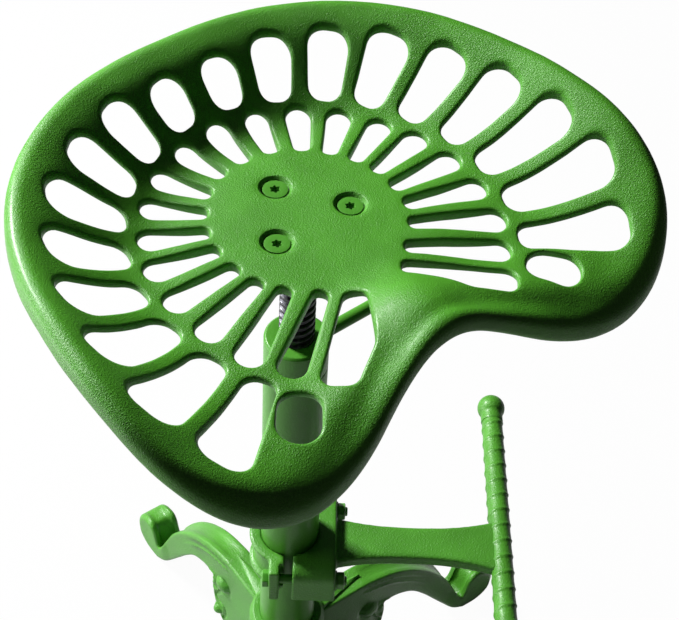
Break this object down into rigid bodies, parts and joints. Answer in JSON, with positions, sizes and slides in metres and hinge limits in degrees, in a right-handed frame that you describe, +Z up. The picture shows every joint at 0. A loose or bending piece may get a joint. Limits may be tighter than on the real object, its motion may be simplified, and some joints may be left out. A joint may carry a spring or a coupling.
{
  "type": "tractor seat stool",
  "caption": "Height-adjustable stool: pierced cast seat pan on a threaded spindle with a lock nut, clamped foot bar and scrolled cast legs.",
  "frame": {"origin": "on the column axis, at floor level", "axes": "+Z up along the column, front of the seat towards -Y, right-hand leg near +X"},
  "size_m": [0.5087, 0.5086, 0.7125],
  "materials": {
    "seat_paint": "glossy enamel over sand-cast iron",
    "seat_screw_paint": "painted countersunk screw",
    "frame_paint": "satin enamel over cast iron",
    "black_steel": "blackened and oiled",
    "zinc_steel": "zinc plated",
    "guide_nylon": "natural nylon"
  },
  "bodies": {
    "base": {"column_tube": "frame_paint", "column_nut": "frame_paint", "column_plug": "frame_paint", "centre_bolt": "zinc_steel", "leg_collar": "frame_paint", "base_plate": "frame_paint", "leg_bolts": "zinc_steel", "leg_washers": "zinc_steel", "leg_right": "frame_paint", "leg_rear": "frame_paint", "leg_left": "frame_paint", "leg_front": "frame_paint"},
    "guide": {"guide_bush": "guide_nylon"},
    "seat": {"seat_pan": "seat_paint", "seat_screws": "seat_screw_paint", "seat_plate": "frame_paint", "spindle": "black_steel", "stop_washer": "zinc_steel", "end_screw": "zinc_steel"},
    "lock": {"lock_nut": "frame_paint", "lock_lever": "frame_paint"},
    "footrest": {"footrest_arm": "frame_paint", "footrest_bar": "frame_paint", "bar_balls": "frame_paint", "clamp_shell": "frame_paint", "clamp_bolts": "frame_paint", "clamp_washers": "frame_paint", "clamp_nuts": "frame_paint"}
  },
  "joints": [
    {"name": "seat_lift", "type": "slide", "parent": "base", "child": "guide", "axis": [0, 0, 1], "range_m": [-0.08, 0.05]},
    {"name": "seat_turn", "type": "hinge", "parent": "guide", "child": "seat", "pos_m": [0, 0, 0.53], "axis": [0, 0, 1], "range_deg": [-4114.2, 2571.4]},
    {"name": "lock_turn", "type": "hinge", "parent": "base", "child": "lock", "pos_m": [0, 0, 0.524], "axis": [0, 0, 1], "range_deg": [0, 90]},
    {"name": "footrest_slide", "type": "slide", "parent": "base", "child": "footrest", "axis": [0, 0, 1], "range_m": [-0.06, 0.15]}
  ],
  "couplings": [
    {"joint": "seat_lift", "follows": "seat_turn", "m_per_rad": 0.0011141}
  ]
}
